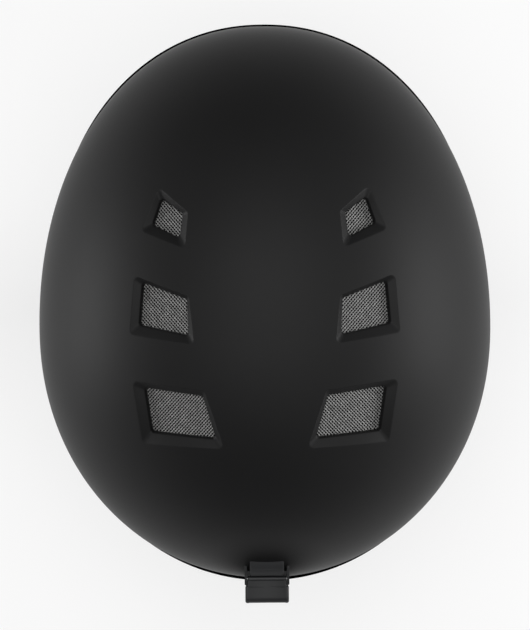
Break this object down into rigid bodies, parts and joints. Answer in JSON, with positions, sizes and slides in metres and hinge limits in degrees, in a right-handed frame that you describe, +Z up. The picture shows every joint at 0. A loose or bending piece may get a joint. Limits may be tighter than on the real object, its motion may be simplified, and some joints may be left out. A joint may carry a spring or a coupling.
{
  "type": "ski helmet",
  "caption": "Snow helmet with recessed meshed vents, foam liner, ear flaps, geared fit dial, chin strap with side-release buckle, and a hinged rear goggle clip.",
  "frame": {"origin": "middle of the wearer's head at the level of the head band, where a head is measured", "axes": "+Z up, -Y the way the wearer looks, +X the wearer's left"},
  "size_m": [0.225, 0.2875, 0.3072],
  "materials": {
    "shell": "matt moulded shell with a fine sprayed grain",
    "edge_trim": "soft matt black edge trim",
    "vent_mesh": "woven mesh of grey and white threads over black",
    "liner_foam": "moulded expanded polystyrene with visible beads",
    "pad_fabric": "brushed knit over soft foam, bound edge",
    "cushion_fleece": "short fleece pile over soft foam",
    "ear_fabric": "tight woven fabric with a stitched edge",
    "webbing": "flat woven polyester webbing",
    "hook_tab": "hook-and-loop tab",
    "fit_plastic": "moulded nylon, fine texture",
    "hardware_plastic": "moulded acetal, satin",
    "clip_plastic": "moulded nylon, satin, slightly worn edges",
    "knob_rubber": "soft-touch rubber",
    "steel": "stainless steel"
  },
  "bodies": {
    "helmet": {"outer_shell": "shell", "shell_edge_trim": "edge_trim", "eps_liner": "liner_foam", "vent_mesh_front_left": "vent_mesh", "vent_mesh_front_right": "vent_mesh", "vent_mesh_middle_left": "vent_mesh", "vent_mesh_middle_right": "vent_mesh", "vent_mesh_rear_left": "vent_mesh", "vent_mesh_rear_right": "vent_mesh", "brow_pad": "pad_fabric", "crown_pad": "pad_fabric", "nape_pad": "pad_fabric", "side_pad_left": "pad_fabric", "side_pad_right": "pad_fabric", "pad_hook_tabs": "hook_tab", "fit_cradle": "fit_plastic", "dial_cover": "fit_plastic", "dial_detent_ring": "steel", "band_guide_left": "fit_plastic", "band_guide_right": "fit_plastic", "strap_anchors": "hardware_plastic", "ear_flap_studs": "hardware_plastic", "ear_flap_left": "ear_fabric", "ear_flap_right": "ear_fabric", "ear_cushion_left": "cushion_fleece", "ear_cushion_right": "cushion_fleece", "front_strap_left": "webbing", "front_strap_right": "webbing", "rear_strap_left": "webbing", "rear_strap_right": "webbing", "strap_divider_left": "hardware_plastic", "strap_divider_right": "hardware_plastic", "strap_rivet_left": "steel", "strap_rivet_right": "steel", "goggle_clip_base": "clip_plastic", "goggle_clip_pin": "steel", "goggle_clip_screws": "steel", "clip_nut_plate": "steel"},
    "fit_dial": {"dial_knob": "knob_rubber", "dial_pinion": "fit_plastic", "dial_screw": "steel"},
    "left_band": {"fit_band_left": "fit_plastic"},
    "right_band": {"fit_band_right": "fit_plastic"},
    "clip_flap": {"goggle_clip_flap": "clip_plastic"},
    "chin_strap": {"chin_strap_left": "webbing", "chin_strap_right": "webbing", "buckle_housing": "hardware_plastic", "strap_keeper": "knob_rubber"},
    "tongue": {"buckle_tongue": "hardware_plastic", "chin_pad": "cushion_fleece"}
  },
  "joints": [
    {"name": "goggle_clip_hinge", "type": "hinge", "parent": "helmet", "child": "clip_flap", "pos_m": [0, 0.1362, 0.0525], "axis": [1, 0, 0], "range_deg": [0, 95]},
    {"name": "fit_dial_turn", "type": "hinge", "parent": "helmet", "child": "fit_dial", "pos_m": [0, 0.09488, -0.05015], "axis": [0, -0.9361, 0.3518], "range_deg": [0, 200]},
    {"name": "left_band_draw", "type": "hinge", "parent": "helmet", "child": "left_band", "pos_m": [0, 0.02, -0.022], "axis": [0, 0.3518, 0.9361], "range_deg": [0, 12.5]},
    {"name": "right_band_draw", "type": "hinge", "parent": "helmet", "child": "right_band", "pos_m": [0, 0.02, -0.022], "axis": [0, -0.3518, -0.9361], "range_deg": [0, 12.5]},
    {"name": "chin_strap_swing", "type": "hinge", "parent": "helmet", "child": "chin_strap", "pos_m": [0, 0, -0.1], "axis": [1, 0, 0], "range_deg": [-50, 30]},
    {"name": "buckle_release", "type": "slide", "parent": "chin_strap", "child": "tongue", "axis": [-0.6178, 0, -0.7864], "range_m": [0, 0.018], "deforming": ["chin_strap_right"]}
  ],
  "couplings": [
    {"joint": "left_band_draw", "follows": "fit_dial_turn", "ratio": 0.0625},
    {"joint": "right_band_draw", "follows": "fit_dial_turn", "ratio": 0.0625}
  ]
}
